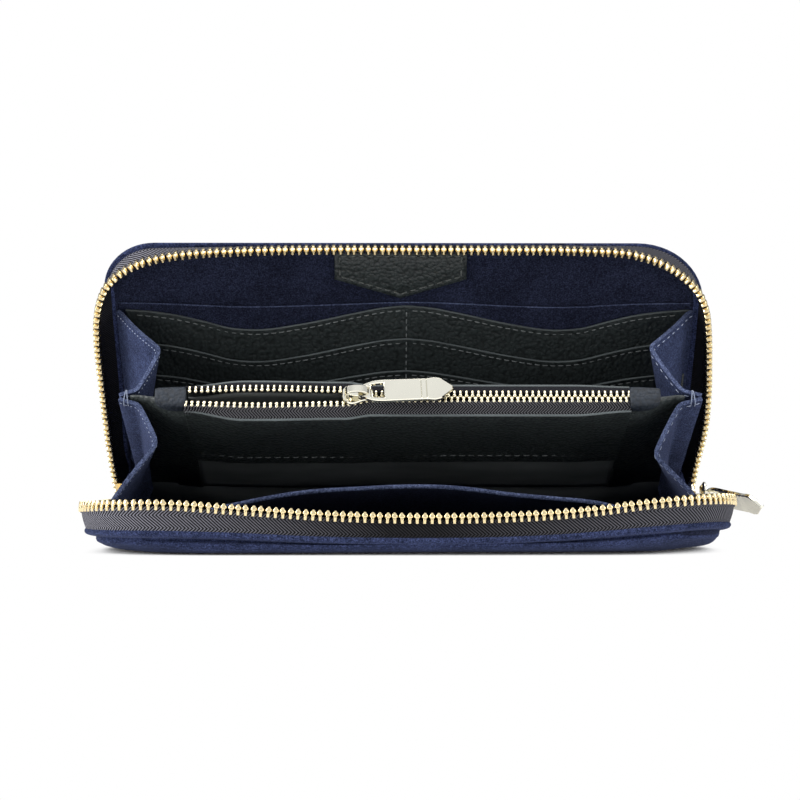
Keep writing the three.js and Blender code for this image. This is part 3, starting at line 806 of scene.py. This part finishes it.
def outer_zip(half, body, rear, foot_insets):
    """The tape from a cover's edge to the chain line, and the teeth on it, from rear to rear."""
    line = chain_line(half)
    length = measured(line)[-1]
    stations = 260
    top, along = sampled(line, stations, rear, rear)
    near, far = (outline(half, inset, side=60, corner=60, front=160) for inset in foot_insets)
    edge, _ = sampled(mix(near, far, smooth(near[:, :1], -70, 90)), EDGE_COUNT)
    nearest = np.argmin(np.linalg.norm(top[:, None, :2] - edge[None], axis=2), 1).astype(float)
    padded = np.pad(nearest, 6, mode="reflect", reflect_type="odd")
    nearest = np.convolve(padded, np.ones(13) / 13, "valid")
    x, y = pick(edge, np.arange(EDGE_COUNT), nearest).T
    share = rear_share(y)
    foot = xyz(x, y, GROUND + (RIM - 0.5) * share + lifted(RIM_LIFT, x, y, half))
    up = unit(top - foot)
    height = np.linalg.norm(top - foot, axis=1)
    out = unit(np.cross(along, up))
    outward = np.c_[foot[:, :2] - [0, -40], np.zeros(stations)]
    out *= np.sign(np.sum(out * outward, 1))[:, None]
    # section: share of the height, extra height, distance outwards
    section = [(0, -0.6, 0.30), (0, 0.2, 0.42), (0.25, 0, 0.52), (0.5, 0, 0.58), (0.75, 0, 0.52),
               (1, -0.75, 0.42), (1, -0.45, 0.72), (1, 0.1, 0.82), (1, 0.6, 0.5), (1, 0.75, 0),
               (1, 0.6, -0.5), (1, 0.1, -0.82), (1, -0.45, -0.72), (1, -0.75, -0.42), (0.5, 0, -0.30),
               (0, 0.2, -0.38), (0, -0.6, -0.3)]
    rows, uvs = [], []
    run = np.linspace(0, length - 2 * rear, stations)
    for part, extra, off in section:
        rise = part * height + extra * (1 if part else share)
        rows.append(foot + up * rise[:, None] + out * off)
        uvs.append(np.stack([run, rise], -1))
    obj = loft(f"{half}_woven_tape", half, np.array(rows).transpose(1, 0, 2), [TAPE, SHADED_TAPE],
               np.array(uvs).transpose(1, 0, 2))
    # the tape's inner side, the last strips of the section, takes the darker copy of the weave as painted
    # shade
    strips = len(section)
    inner = [int(13 <= i % strips < 16) for i in range((stations - 1) * strips)] + [0, 0]
    obj.data.polygons.foreach_set("material_index", inner)
    attach(obj, body, "zip_tape", f"{half}_tape")

    count = int((length - 2 * rear) / TOOTH_PITCH)
    at, tangent = sampled(line, count, rear + 1, rear + 1)
    side = unit(np.cross([0, 0, 1], tangent))
    # small deterministic differences in how each tooth sits
    wobble = 0.05 * np.sin(np.arange(count) * 2.4) + 0.04 * np.sin(np.arange(count) * 5.1)
    rise = unit(np.cross(tangent, side) + tangent * wobble[:, None])
    teeth = Gather()
    teeth.repeat(OUTER_TOOTH, at, np.stack([tangent, side, rise], 1))
    obj = teeth.build(f"{half}_metal_teeth", half, [GOLD])
    sharp(obj, 50)
    attach(obj, body, "gold_teeth", f"{half}_teeth")


outer_zip("lower", "base", 2.5, (0.9, 0.9))
outer_zip("upper", "upper_cover", 1.0, (1.2, 1.9))

# ---------------------------------------------------------------- divider

POCKET = 67.6  # half length of the pocket's mouth
SEAM = 36.0  # distance of the facing's seam from the hinge axis
LIP = 69.6
CHAIN = 70.8


def opened(x):
    """One where the pocket's zip is undone, nought where it is closed."""
    return 0.75 * smooth(-x, 11, 19) + 0.25 * smooth(-x, 19, 45)


def divider_sag(x, r):
    """How far the divider's front sinks between its sewn ends."""
    return -2.7 * (r / 70) ** 1.6 * (1 - smooth(np.abs(x), 72, 84))


def lip_gap(x):
    """How far each row of teeth stands off the closed line."""
    return 2.0 * opened(x) * (1 - 0.28 * smooth(-x, 46, 68))


def divider_half(x, r, side):
    """Half the divider's thickness at a distance r."""
    front = mix(6.1 if side < 0 else 5.2, 7.7 if side < 0 else 6.6, opened(x))
    front = mix(front, 4.6, smooth(np.abs(x), 50, POCKET))
    return mix(2.4, front, (r / 70) ** 1.25)


def divider_rows(xs, distances, height_at):
    """Rows of points along X, from a function of the distance that gives their heights."""
    return [xyz(xs, -r, height_at(r) + divider_sag(xs, r)) for r in distances]


for side, word in ((1, "upper"), (-1, "lower")):
    up = np.array([0, math.sin(MIDDLE), math.cos(MIDDLE)]) * side
    xs = np.linspace(-POCKET, POCKET, 109)

    def facing(r):
        groove = 0.35 * np.exp(-((r - SEAM) / 0.6) ** 2) + 0.25 * np.exp(-((LIP - r - 1.4) / 0.5) ** 2)
        ripple = 0.25 * np.sin(xs / 11.0 + side) * np.sin(r / 9.0)
        return side * (divider_half(xs, r, side) - groove + ripple * smooth(LIP - r, 0, 8))

    distances = np.concatenate([np.linspace(LIP, LIP - 3, 7), np.linspace(LIP - 4, SEAM - 4, 22)])
    obj = sheet(f"divider_leather_{word}", "divider", divider_rows(xs, distances, facing), [FACING, EDGE])
    thicken(obj, 0.9, up, 1, 0.25)
    attach(obj, "divider", "black_leather", f"divider_facing_{word}")

    run = Gather()
    line_x = np.linspace(-66, 66, 120)
    line = divider_rows(line_x, [SEAM + 1.6], lambda r: side * (divider_half(line_x, r, side) - 0.1))[0]
    straight(run, line, side, pitch=2.9, length=2.0, radius=0.17)
    attach(run.build(f"divider_stitching_{word}", "divider", [DARK_THREAD]), "divider", "black_leather")

    xs = np.linspace(-POCKET, POCKET, 61)

    def lining(r):
        ripple = 0.3 * np.sin(xs / 13.0 + 2 * side) * np.sin(r / 12.0)
        return side * (divider_half(xs, r, side) - 1.15 + ripple * smooth(SEAM - r, 2, 10))

    obj = sheet(f"divider_lining_sheet_{word}", "divider",
                divider_rows(xs, np.linspace(LIP - 5, 9, 26), lining), [SMOOTH])
    thicken(obj, 0.6, up)
    attach(obj, "divider", "black_lining", f"divider_lining_{word}")

    # tape and teeth along the lip, which parts where the pocket's zip is undone
    xs = np.linspace(-POCKET, POCKET, 150)
    base = lip_gap(xs) + 1.85
    outer_edge = np.maximum(divider_half(xs, LIP, side) - 0.8, base + 0.8)
    sag = divider_sag(xs, CHAIN)
    # section: share of the width, extra height, distance outwards
    section = [(0, -0.5, 0.3), (0, -0.15, 0.55), (0, 0.25, 0.6), (0.1, 0.4, 0.35), (0.5, 0, 0.3),
               (0.85, 0, 0.1), (1, 0.5, -0.4), (1, 0.5, -0.8), (0.85, 0, -0.35), (0.5, 0, -0.1),
               (0.1, 0.4, -0.1), (0, 0.25, -0.5), (0, -0.15, -0.5), (0, -0.5, -0.25)]
    rows, uvs = [], []
    for part, extra, off in section:
        h = mix(base, outer_edge, part) + extra
        rows.append(xyz(xs, 1.1 * part - CHAIN - off, side * h + sag))
        uvs.append(np.stack([xs, h], -1))
    # the upper pocket tape takes the darker copy of the weave, painted shade
    obj = loft(f"pocket_woven_tape_{word}", "divider", np.array(rows).transpose(1, 0, 2),
               [INNER_TAPE if side < 0 else SHADED_TAPE], np.array(uvs).transpose(1, 0, 2))
    ends = to_row([(-16, -CHAIN, 0), (-46, -CHAIN, 0)], "divider")
    bend(obj, "divider", f"pocket_lip_{word}", *ends, "zip_tape", f"pocket_tape_{word}")

    shift = 0.9 if side > 0 else 0.0  # the rows stand half a pitch apart
    at, tangent = sampled(xyz(xs, -CHAIN, side * base + sag), 74, 0.6 + shift, 1.5 - shift)
    front = unit(np.cross([0, 0, -side], tangent))
    teeth = Gather()
    teeth.repeat(INNER_TOOTH, at, np.stack([tangent, front, np.cross(tangent, front)], 1))
    obj = teeth.build(f"pocket_metal_teeth_{word}", "divider", [PALE_GOLD])
    sharp(obj, 50)
    bend(obj, "divider", f"pocket_lip_{word}", *ends, "gold_teeth", f"pocket_teeth_{word}")

# End tabs, thin sewn ends and the root of the divider.
SEWN_START, SEWN_END = 67.2, 84.8
for side, word in ((-1, "left"), (1, "right")):
    rings = []
    for x, grow in ((67.1, 0.55), (67.35, 0.95), (67.9, 1.0), (70, 1.0), (73, 0.92), (75.5, 0.72),
                    (76.4, 0.55)):
        t = np.linspace(0, 2 * math.pi, 20, endpoint=False)
        c, s = np.cos(t), np.sin(t)
        rings.append(xyz(side * x, -LIP - 2.6 * np.sign(c) * abs(c) ** 0.6,
                         divider_sag(x, 70) + 3.55 * grow * np.sign(s) * abs(s) ** 0.5))
    obj = loft(f"divider_tab_leather_{word}", "divider", rings, [TAB])
    attach(obj, "divider", "black_leather", f"divider_tab_{word}")

    rings = []
    for x in (SEWN_START, 68, 70, 73, 76, 79, 82, 84, SEWN_END):
        t = (x - SEWN_START) / (SEWN_END - SEWN_START)
        thick = mix(3.4, 0.75, smooth(t, 0, 0.75)) * (1.0 if x < 84.5 else 0.5)
        front = mix(69.6, 66.6, t)
        section = [(front, 0.55), (front + 0.35, 0.0), (front, -0.55), (front - 1, -0.95), (50, -0.8),
                   (30, -0.62),
                   (9, -0.5), (8.5, 0.0), (9, 0.5), (30, 0.62), (50, 0.8), (front - 1, 0.95)]
        rings.append([(side * x, -r, share * thick + float(divider_sag(x, r))) for r, share in section])
    obj = loft(f"divider_sewn_end_{word}", "divider", rings, [FACING])
    attach(obj, "divider", "black_lining", f"divider_edge_{word}")

section = [(-10.0, 0.9), (4, 0.8), (12.6, 0.7), (12.9, 0), (12.6, -0.7), (4, -0.8), (-10.0, -0.9)]
rings = [[(x, y, z) for y, z in section] for x in (-85, -60, -30, 0, 30, 60, 85)]
attach(loft("divider_root_fold", "divider", rings, [SMOOTH]), "divider", "black_lining", "divider_root")

# ---------------------------------------------------------------- gussets

GUSSET_FRONT, GUSSET_REAR = 66.0, 8.0  # distances from the hinge axis
BEND_REACH = 13
top, mid = math.degrees(OPEN), math.degrees(MIDDLE)
# Corner points at the opening: (x, angle above the lower cover, offset square to that angle, distance).
GUSSETS = {
    ("left", "lower"): [(94.0, 0.0, -8.3, 66), (92.0, 0.0, -6.5, 66), (76.2, mid / 2 + 0.6, 0.0, 66),
                        (82.6, mid, -2.3, 66.2), (86.0, mid, -1.6, 66.3), (88.0, mid, -0.55, 66.4)],
    ("right", "lower"): [(94.0, 0.0, -8.3, 66), (92.0, 0.0, -6.5, 66), (74.6, mid / 2 - 2.6, 0.0, 66),
                         (83.6, mid, -2.3, 66.2), (87.0, mid, -1.6, 66.3), (90.0, mid, -0.55, 66.4)],
    ("left", "upper"): [(92.5, top, 8.0, 67), (91.0, top, 6.6, 66.6),
                        (77.2, (top + mid) / 2 + 2.9, 0.0, 66.2),
                        (83.4, mid, 2.3, 66.3), (86.0, mid, 1.6, 66.3), (88.0, mid, 0.55, 66.4)],
    ("right", "upper"): [(92.0, top, 8.0, 67), (90.0, top, 6.6, 67),
                         (75.8, (top + mid) / 2 + 3.2, 0.0, 66.8),
                         (84.6, mid, 2.3, 66.3), (87.0, mid, 1.6, 66.3), (90.0, mid, 0.55, 66.4)],
}
# per level: bodies below and above, angle between them, angle in the spine, CAD pieces below and above
LEVELS = {"lower": ("base", "divider", mid / 2, 0, ("base", "below_divider")),
          "upper": ("divider", "upper_cover", (top + mid) / 2, 2 * HALF_TURN, ("above_divider", "top"))}


def rounded_path(points, radii, steps=6):
    """A polyline with its inner corners rounded by short quadratic arcs."""
    out = [points[0]]
    for i in range(1, len(points) - 1):
        a, b, c = points[i - 1], points[i], points[i + 1]
        cut = min(radii[i - 1], 0.45 * np.linalg.norm(a - b), 0.45 * np.linalg.norm(c - b))
        p, q = b + unit(a - b) * cut, b + unit(c - b) * cut
        for t in np.linspace(0, 1, steps):
            out.append((1 - t) ** 2 * p + 2 * t * (1 - t) * b + t**2 * q)
    out.append(points[-1])
    return np.array(out)


for (word, level), corners in GUSSETS.items():
    side = -1 if word == "left" else 1
    below, above, between_angle, spine_angle, places = LEVELS[level]
    rows, uvs = [], []
    for r in np.concatenate([[66.0, 65.6, 64.5], np.linspace(62, GUSSET_REAR, 22)]):
        taper = (r - GUSSET_REAR) / (GUSSET_FRONT - GUSSET_REAR)
        points = []
        for i, (x, angle, offset, reach) in enumerate(corners):
            fold_x = mix(90.0, x, max(0.06, taper)) if i == 2 else mix(max(x, 84.0), x, taper)
            spread = offset * mix(1.25 if i < 2 else 0.55, 1.0, taper)
            points.append(polar(side * fold_x, reach * r / GUSSET_FRONT, angle, spread))
        path = rounded_path(np.array(points), [1.6, 2.2, 2.0, 1.4])
        length = measured(path)
        dense = np.linspace(0, length[-1], 46)
        row = pick(path, length, dense)
        # each panel bows a little between its seams
        row[:, 0] += side * 0.7 * taper * np.sin(2 * math.pi * dense / length[-1])
        rows.append(row)
        uvs.append(np.stack([dense, np.full(46, r)], -1))
    # behind the hinge axis the sheet runs on to the spine's lining
    turn = np.radians(np.linspace(spine_angle, HALF_TURN, 46))
    heel = HINGE + xyz(side * 90.2, 13.2 * np.sin(turn), -13.2 * np.cos(turn))
    last_row = rows[-1]
    for t in (0.25, 0.5, 0.75, 1.0):
        rows.append(mix(last_row, heel, t))
        uvs.append(np.stack([dense, np.full(46, GUSSET_REAR - 16 * t)], -1))
    shape = Gather()
    shape.grid(np.array(rows), np.array(uvs))
    obj = shape.build(f"gusset_sheet_{word}_{level}", None, [GUSSET, RAW_EDGE_AND_HIGHLIGHT], outward=False)
    thicken(obj, 1.3, rim=1, bevel=0.4, segments=3)
    a = math.radians(between_angle)
    normal = BEND_REACH * np.array([0, math.sin(a), math.cos(a)])
    middle = HINGE + 40 * np.array([0, -math.cos(a), math.sin(a)])
    turning = (below, above, middle - normal, middle + normal, "navy_suede")
    bend(obj, *turning, *[f"gusset_{word}_{place}" for place in places])

    front, behind = rows[2], rows[3]
    facing = unit(np.cross(np.gradient(front, axis=0), behind - front))
    dashes = dict(pitch=1.6, length=0.75) if word == "left" else dict(pitch=2.9, length=1.6)
    sewn = Gather()
    for face in (-1, 1):
        stitch_run(sewn, front, facing * face, radius=0.17, lift=0.62, **dashes)
    bend(sewn.build(f"gusset_stitching_{word}_{level}", None, [THREAD]), *turning)

# Bar tacks where both gussets are sewn to the divider: threads round its edge, as (distance, height).
WRAP = [(64.8, -2.3), (66.2, -2.3), (66.9, -1.6), (67.1, 0.0), (66.9, 1.6), (66.2, 2.3), (64.8, 2.3)]
wrap, along = sampled(through(WRAP, 40), 16)
tacks = Gather()
for side, x in ((-1, 85.9), (1, 87.2)):
    for step, slant in ((-0.35, 0.14), (0.35, -0.10)):
        rings = []
        for (r, h), (dr, dh) in zip(wrap, along):
            t = np.linspace(0, 2 * math.pi, 6, endpoint=False)
            across, out = 0.17 * np.cos(t), 0.17 * np.sin(t)
            rings.append(polar(side * (x + step + slant * h) + across, r - dh * out, mid, h + dr * out))
        tacks.grid(rings, close_v=True, caps=True)
obj = tacks.build("gusset_bar_tacks", None, [thread("tack_thread", (0.22, 0.26, 0.37))])
attach(obj, "divider", "navy_suede")

# ---------------------------------------------------------------- sliders, stops and pull tabs


for node in ("lower_top_stop", "upper_top_stop", "bottom_stop"):
    obj = frame["nodes"][node]
    obj.data.materials.clear()
    obj.data.materials.append(GOLD)
    round_edges(obj, 0.7, 3, 35)


def metal_plate(shape, place, profile, stations, lanes, thickness, window=None, grooves=(), edge=0.28):
    """A plate with softened edges on a grid of x stations and lanes (shares of the half width),
    placed by a function of (x, across, depth). The window is (first station, last station,
    first lane, last lane)."""
    xs, lanes = np.array(stations, float), np.array(lanes, float)
    widths = curve(xs, profile)
    solid = np.ones((len(xs) - 1, len(lanes) - 1), bool)
    if window:
        solid[window[0]:window[1], window[2]:window[3]] = False
    padded = np.pad(solid, 1)
    around = np.stack([padded[:-1, :-1], padded[1:, :-1], padded[:-1, 1:], padded[1:, 1:]])
    used, border = around.any(0), ~around.all(0)
    number = np.cumsum(used).reshape(used.shape) - 1
    count = int(used.sum())
    verts = []
    for face in (1, -1):
        for i, j in zip(*np.nonzero(used)):
            depth = thickness / 2 - (edge if border[i, j] else 0.0)
            if face > 0 and i in grooves:
                depth -= 0.16
            verts.append(place(xs[i], lanes[j] * widths[i], face * depth))
    faces = []
    for i, j in zip(*np.nonzero(solid)):
        a, b, c, d = number[i, j], number[i + 1, j], number[i + 1, j + 1], number[i, j + 1]
        faces += [[a, b, c, d], [d + count, c + count, b + count, a + count]]
        for p, q, beyond in ((a, b, padded[i + 1, j]), (b, c, padded[i + 2, j + 1]),
                             (c, d, padded[i + 1, j + 2]),
                             (d, a, padded[i, j + 1])):
            if not beyond:
                faces.append([q, p, p + count, q + count])
    shape.add(np.array(verts), [[int(k) for k in f] for f in faces])


PULL_PROFILE = [(-0.6, 1.5), (0, 1.9), (1, 2.2), (2, 2.7), (3.3, 3.2), (4.5, 3.52), (5.6, 3.65),
                (12, 3.65), (20, 3.65), (24.1, 3.65), (24.3, 3.55), (26.2, 1.95), (28.1, 0.35)]
PULL_STATIONS = [-0.6, -0.35, 0.3, 1, 2, 3.0, 3.3, 4.2, 5.2, 6.3, 7.25, 7.55, 10, 14, 18.3, 18.5, 18.7,
                 19.9, 20.1, 20.3, 22.5, 24.1, 24.4, 26.2, 27.8, 28.1]
PULL_LANES = [-1, -0.92, -0.74, -0.66, -0.3, 0.3, 0.66, 0.74, 0.92, 1]


def pull_tab(name, half, body, node, pivot, along, across):
    """A flat pull with a pointed end, a window beside the slider and two plain grooves."""
    along, across = np.array(along, float), np.array(across, float)
    normal = np.cross(along, across)
    shape = Gather()
    metal_plate(shape, lambda x, z, d: np.array(pivot) + along * x + across * z + normal * d, PULL_PROFILE,
                PULL_STATIONS, PULL_LANES, 1.5, (6, 10, 3, 6), (15, 18))
    obj = shape.build(name, half, [CHAMPAGNE])
    sharp(obj, 30)
    round_edges(obj, 0.06, 2, 28)
    attach(obj, body, "champagne_metal", node)


SLIDER_X = -14.5  # the pocket's slider
slider_sag = float(divider_sag(SLIDER_X, CHAIN))
lean = math.radians(2.6)
pull_tab("pocket_pull", "divider", "pocket_pull", "pocket_pull_tab", (SLIDER_X, -74.1, slider_sag),
         (math.cos(lean), 0, math.sin(lean)), (-math.sin(lean), 0, math.cos(lean)))
turn, droop, roll = math.radians(62), math.radians(7), math.radians(38)
along = np.array([math.cos(turn) * math.cos(droop), -math.sin(turn) * math.cos(droop), -math.sin(droop)])
upright = np.array([math.cos(turn) * math.sin(droop), -math.sin(turn) * math.sin(droop), math.cos(droop)])
across = upright * math.cos(roll) + np.cross(along, upright) * math.sin(roll)
pull_tab("outer_pull", "lower", "outer_pull", "outer_pull_tab", (100.5, -9, 0), along, across)


def slider_body(name, half, body, node, place, profile, stations, plates, bail):
    """Two round-ended plates, a post between them and a bail for the pull; place takes
    (along, across, towards the face)."""
    shape = Gather()
    lanes = [-1, -0.9, -0.5, 0, 0.5, 0.9, 1]
    for level in plates:
        metal_plate(shape, lambda x, z, d: place(x, z, level + d), profile, stations, lanes, 1.0)
    reach = plates[0] - 0.3
    front = stations[0]
    metal_plate(shape, lambda x, z, d: place(x, d, z), [(front + 0.4, reach), (front + 2.2, reach)],
                [front + 0.4, front + 0.6, front + 2.0, front + 2.2], [-1, 0, 1], 1.0, edge=0.15)
    line, along = sampled(through(np.array(bail), 60), 26)
    out = np.stack([-along[:, 1], along[:, 0]], -1)
    section = ((-1.25, -0.2), (-1.05, -0.36), (1.05, -0.36), (1.25, -0.2), (1.25, 0.2), (1.05, 0.36),
               (-1.05, 0.36), (-1.25, 0.2))
    rows = [[place(at[0] + n[0] * o, z, at[1] + n[1] * o) for z, o in section] for at, n in zip(line, out)]
    shape.grid(np.array(rows), close_v=True, caps=True)
    obj = shape.build(name, half, [CHAMPAGNE])
    sharp(obj, 35)
    attach(obj, body, "champagne_metal", node)


slider_body("pocket_slider_body", "divider", "pocket_slider", "pocket_slider",
            lambda x, z, d: np.array([x + SLIDER_X, -(70.6 + d), z + slider_sag]),
            [(-5.4, 0.8), (-5.1, 1.8), (-4.5, 2.55), (-3.5, 3.15), (-2.5, 3.35), (-1.5, 3.2), (-0.5, 2.8),
             (0.5, 2.35), (1.5, 2.1), (2.5, 2.05), (3.4, 2.0), (3.9, 1.7)],
            [-5.4, -5.15, -4.5, -3.5, -2.5, -1.5, -0.5, 0.5, 1.5, 2.5, 3.5, 3.9], (1.8, -1.8),
            [(-4.3, 2.0), (-4.25, 3.4), (-3.7, 4.6), (-2.4, 5.4), (-0.6, 5.6), (1.1, 5.3), (2.2, 4.5),
             (2.65, 3.3), (2.7, 2.0)])
slider_body("outer_slider_body", "lower", "outer_slider", "outer_slider",
            lambda x, z, d: np.array([96.9 + d, -9 + x, z]),
            [(-4.5, 1.6), (-4.3, 2.6), (-3.6, 3.6), (-2.6, 4.2), (-1.4, 4.3), (-0.2, 4.0), (1.0, 3.5),
             (2.2, 3.2), (3.4, 3.1), (4.1, 3.0), (4.5, 2.6)],
            [-4.5, -4.25, -3.6, -2.6, -1.4, -0.2, 1.0, 2.2, 3.4, 4.2, 4.5], (2.2, -2.2),
            [(-3.3, 2.4), (-3.3, 3.6), (-2.8, 4.8), (-1.6, 5.6), (0.2, 5.8), (1.8, 5.5), (2.8, 4.7),
             (3.2, 3.6), (3.2, 2.4)])

# ---------------------------------------------------------------- floor, light, camera

floor_mesh = bpy.data.meshes.new("floor")
floor_mesh.from_pydata([(-6, -6, 0), (6, -6, 0), (6, 6, 0), (-6, 6, 0)], [], [(0, 1, 2, 3)])
floor = bpy.data.objects.new("floor", floor_mesh)
floor.location.z = -0.0002
bpy.context.scene.collection.objects.link(floor)
# the camera sees white with a painted contact shadow, a narrow dark line from ambient occlusion; everything
# else sees a pale surface that also glows a little, painted light that lifts the wallet from below
n = Surface("floor_white")
occlusion = n.node("AmbientOcclusion", {"Distance": 0.006}, samples=6)
shade = n.ramp(occlusion.outputs["AO"], [(0.05, (0.01, 0.01, 0.012)), (0.2, (0.70, 0.70, 0.71)),
                                         (0.5, (0.95, 0.95, 0.95)), (0.8, (1, 1, 1))])
seen = n.node("Emission", {"Color": shade, "Strength": 1.0})
diffuse = n.node("BsdfDiffuse", {"Color": (0.85, 0.85, 0.85, 1)})
glow = n.node("Emission", {"Color": (1, 1, 1, 1), "Strength": 0.20})
bounce = n.node("AddShader", {0: diffuse.outputs[0], 1: glow.outputs[0]})
n.fill(n.out, {0: n.by_camera(bounce, seen).outputs[0]})
floor_mesh.materials.append(n.material)

world = bpy.data.worlds.new("studio")
bpy.context.scene.world = world
world.use_nodes = True
n = Nodes(world.node_tree)
split = n.node("SeparateXYZ", {0: n.node("TexCoord").outputs["Generated"]}).outputs
sides = n.times(n.math("POWER", n.math("ABSOLUTE", split[0]), 2.0), 0.45)
overhead = n.times(n.math("MAXIMUM", split[2], 0.0), 0.35)
# only reflections see a bright patch high in front and a paler front
lobe = n.math("MAXIMUM", n.add(n.times(split[1], -0.57), n.times(split[2], 0.82)), 0.0)
ahead = n.math("MAXIMUM", n.times(split[1], -1.0), 0.0)
glow = n.add(n.times(n.math("POWER", lobe, 4.0), 0.42), n.times(n.math("POWER", ahead, 2.0), 0.35))
glow = n.add(n.times(glow, n.node("LightPath").outputs["Is Glossy Ray"]), 0.18)
ambient = n.node("Background", {0: (0.92, 0.95, 1.0, 1), 1: n.add(n.add(sides, overhead), glow)})
backdrop = n.node("Background", {0: (1, 1, 1, 1), 1: 1.0})
n.node("OutputWorld", {0: n.by_camera(ambient, backdrop).outputs[0]})


def soft_box(name, location, target, size, energy):
    light = bpy.data.lights.new(name, "AREA")
    light.shape = "RECTANGLE"
    light.size, light.size_y = size
    light.energy = energy
    obj = bpy.data.objects.new(name, light)
    obj.location = location
    obj.rotation_euler = (Vector(target) - Vector(location)).to_track_quat("-Z", "Y").to_euler()
    bpy.context.scene.collection.objects.link(obj)


soft_box("left_light", (-1.15, -0.55, 0.55), (0, 0, 0.04), (0.7, 0.8), 16)
soft_box("right_light", (1.15, -0.60, 0.50), (0, 0, 0.04), (0.6, 0.8), 6)
soft_box("top_light", (0, -0.15, 1.2), (0, 0, 0.02), (1.2, 0.8), 9)

# The camera was fitted to the photo: pixels are those of a picture PICTURE pixels wide.
PICTURE, SENSOR = 800, 36
TARGET = np.array([0.0, -46.0, 16.0])
DISTANCE, ELEVATION, YAW = 514.5, math.radians(1.0), math.radians(0.84)
FOCAL = 1794.0  # pixels
CENTRE = (409.35, 499.1)  # where the target falls
look = np.array([math.sin(YAW) * math.cos(ELEVATION), math.cos(YAW) * math.cos(ELEVATION),
                 -math.sin(ELEVATION)])
right = np.array([math.cos(YAW), -math.sin(YAW), 0.0])
above = np.cross(right, look)
eye = (TARGET - look * DISTANCE) * MM
aim = unit(look * FOCAL + right * (PICTURE / 2 - CENTRE[0]) - above * (PICTURE / 2 - CENTRE[1]))
across = unit(np.cross(aim, [0, 0, 1.0]))
upward = np.cross(across, aim)
camera = bpy.data.cameras.new("camera")
camera.lens = FOCAL / PICTURE * SENSOR
camera.sensor_width = SENSOR
camera.clip_start, camera.clip_end = 0.01, 50
camera_object = bpy.data.objects.new("camera", camera)
camera_object.matrix_world = Matrix([*np.stack([across, upward, -aim, eye], 1).tolist(), (0, 0, 0, 1)])
bpy.context.scene.collection.objects.link(camera_object)
bpy.context.scene.camera = camera_object
bpy.context.scene.view_settings.view_transform = "Standard"
